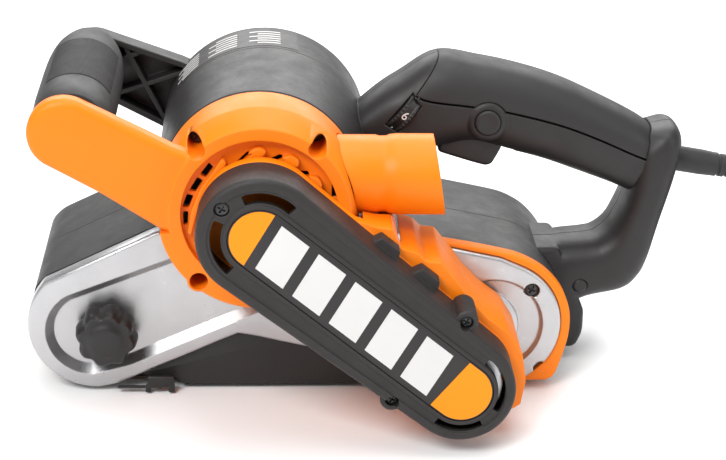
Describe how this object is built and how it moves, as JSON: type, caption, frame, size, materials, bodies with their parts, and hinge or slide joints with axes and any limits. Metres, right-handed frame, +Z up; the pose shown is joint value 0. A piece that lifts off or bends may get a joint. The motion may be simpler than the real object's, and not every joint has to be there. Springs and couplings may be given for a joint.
{
  "type": "belt sander",
  "caption": "Handheld belt sander with a rear D-handle, a round front grip, a side belt-drive cover, a dust outlet and a coiled mains cord.",
  "frame": {"origin": "centre of the belt's flat run, on the surface being sanded", "axes": "+X towards the rear handle and cord, +Z up, the drive side faces -Y"},
  "size_m": [0.4665, 0.2406, 0.1523],
  "materials": {
    "orange_plastic": "moulded, half gloss",
    "black_plastic": "fine moulded grain",
    "soft_rubber": "soft-touch",
    "panel_film": "printed label film",
    "aluminium": "fine blasted casting",
    "steel": "machined",
    "dark_steel": "blackened",
    "copper": "drawn copper and brass",
    "abrasive": "grit on cloth",
    "graphite": "pressed graphite"
  },
  "bodies": {
    "frame": {"inner_frame": "aluminium", "frame_plate": "aluminium", "side_trim": "orange_plastic", "side_skirt": "black_plastic", "platen_clip": "black_plastic", "platen_pad": "graphite", "platen_plate": "steel", "plate_screw": "dark_steel", "drive_axle_bearing": "steel", "jack_bearing": "steel", "stator": "dark_steel", "motor_bearing_front": "steel", "motor_bearing_rear": "steel", "brush_upper": "graphite", "brush_lower": "graphite", "brush_holder_upper": "copper", "brush_holder_lower": "copper", "fan_housing": "orange_plastic", "drive_housing": "orange_plastic", "dust_outlet": "orange_plastic", "drive_cover": "black_plastic", "cover_panel": "panel_film", "cover_screw_1": "dark_steel", "cover_screw_2": "dark_steel", "cover_screw_3": "dark_steel", "housing_screw_1": "dark_steel", "housing_screw_2": "dark_steel", "housing_screw_3": "dark_steel", "left_shell": "black_plastic", "right_shell": "black_plastic", "rear_grip": "soft_rubber", "switch_module": "black_plastic", "front_grip": "soft_rubber", "front_grip_core": "black_plastic", "cord_sleeve": "soft_rubber", "power_cord": "soft_rubber", "cord_coil": "soft_rubber", "cord_plug": "black_plastic", "sanding_belt": "abrasive", "toothed_belt": "soft_rubber", "tension_spring": "steel"},
    "armature": {"armature": "steel", "commutator": "copper", "cooling_fan": "black_plastic", "motor_pulley": "aluminium"},
    "jack_shaft": {"jack_shaft": "steel", "driven_pulley": "aluminium"},
    "drive_roller": {"drive_roller": "soft_rubber", "drive_axle": "steel", "drive_gear": "steel"},
    "idler_carriage": {"tension_yoke": "dark_steel", "idler_axle": "steel"},
    "idler_roller": {"idler_roller": "aluminium", "idler_bearing_1": "steel", "idler_bearing_2": "steel"},
    "release_lever": {"release_lever": "steel"},
    "tracking_knob": {"tracking_knob": "black_plastic"},
    "speed_dial": {"speed_dial": "black_plastic"},
    "trigger": {"trigger": "black_plastic"},
    "lock_button": {"lock_button": "black_plastic"}
  },
  "joints": [
    {"name": "drive_spin", "type": "hinge", "parent": "frame", "child": "drive_roller", "pos_m": [0.08958, 0, 0.0284], "axis": [0, 1, 0], "continuous": true},
    {"name": "jack_spin", "type": "hinge", "parent": "frame", "child": "jack_shaft", "pos_m": [0.0689, 0, 0.0311], "axis": [0, 1, 0], "continuous": true},
    {"name": "armature_spin", "type": "hinge", "parent": "frame", "child": "armature", "pos_m": [-0.016, 0, 0.1003], "axis": [0, 1, 0], "continuous": true},
    {"name": "carriage_slide", "type": "slide", "parent": "frame", "child": "idler_carriage", "axis": [1, 0, 0], "range_m": [0, 0.006]},
    {"name": "idler_spin", "type": "hinge", "parent": "idler_carriage", "child": "idler_roller", "pos_m": [-0.08958, 0, 0.0284], "axis": [0, 1, 0], "continuous": true},
    {"name": "release_swing", "type": "hinge", "parent": "frame", "child": "release_lever", "pos_m": [-0.034, 0.0395, 0.027], "axis": [0, 0, 1], "range_deg": [0, 80]},
    {"name": "tracking_turn", "type": "hinge", "parent": "frame", "child": "tracking_knob", "pos_m": [-0.084, 0, 0.03], "axis": [0, 1, 0], "range_deg": [-180, 180]},
    {"name": "speed_turn", "type": "hinge", "parent": "frame", "child": "speed_dial", "pos_m": [0.0484, -0.0096, 0.1214], "axis": [0.7709, 0, -0.6369], "range_deg": [-275, 0]},
    {"name": "trigger_pull", "type": "hinge", "parent": "frame", "child": "trigger", "pos_m": [0.069, 0, 0.109], "axis": [0, -1, 0], "range_deg": [0, 8], "stiffness_Nm_per_rad": 0.6, "springref_deg": -8.59},
    {"name": "lock_press", "type": "slide", "parent": "frame", "child": "lock_button", "axis": [0, 1, 0], "range_m": [0, 0.003], "stiffness_N_per_m": 300, "springref_m": -0.002}
  ],
  "couplings": [
    {"joint": "jack_spin", "follows": "drive_spin", "ratio": -3.4444},
    {"joint": "armature_spin", "follows": "drive_spin", "ratio": -7.873},
    {"joint": "idler_spin", "follows": "drive_spin", "ratio": 1},
    {"joint": "release_swing", "follows": "carriage_slide", "rad_per_m": 232.71}
  ]
}
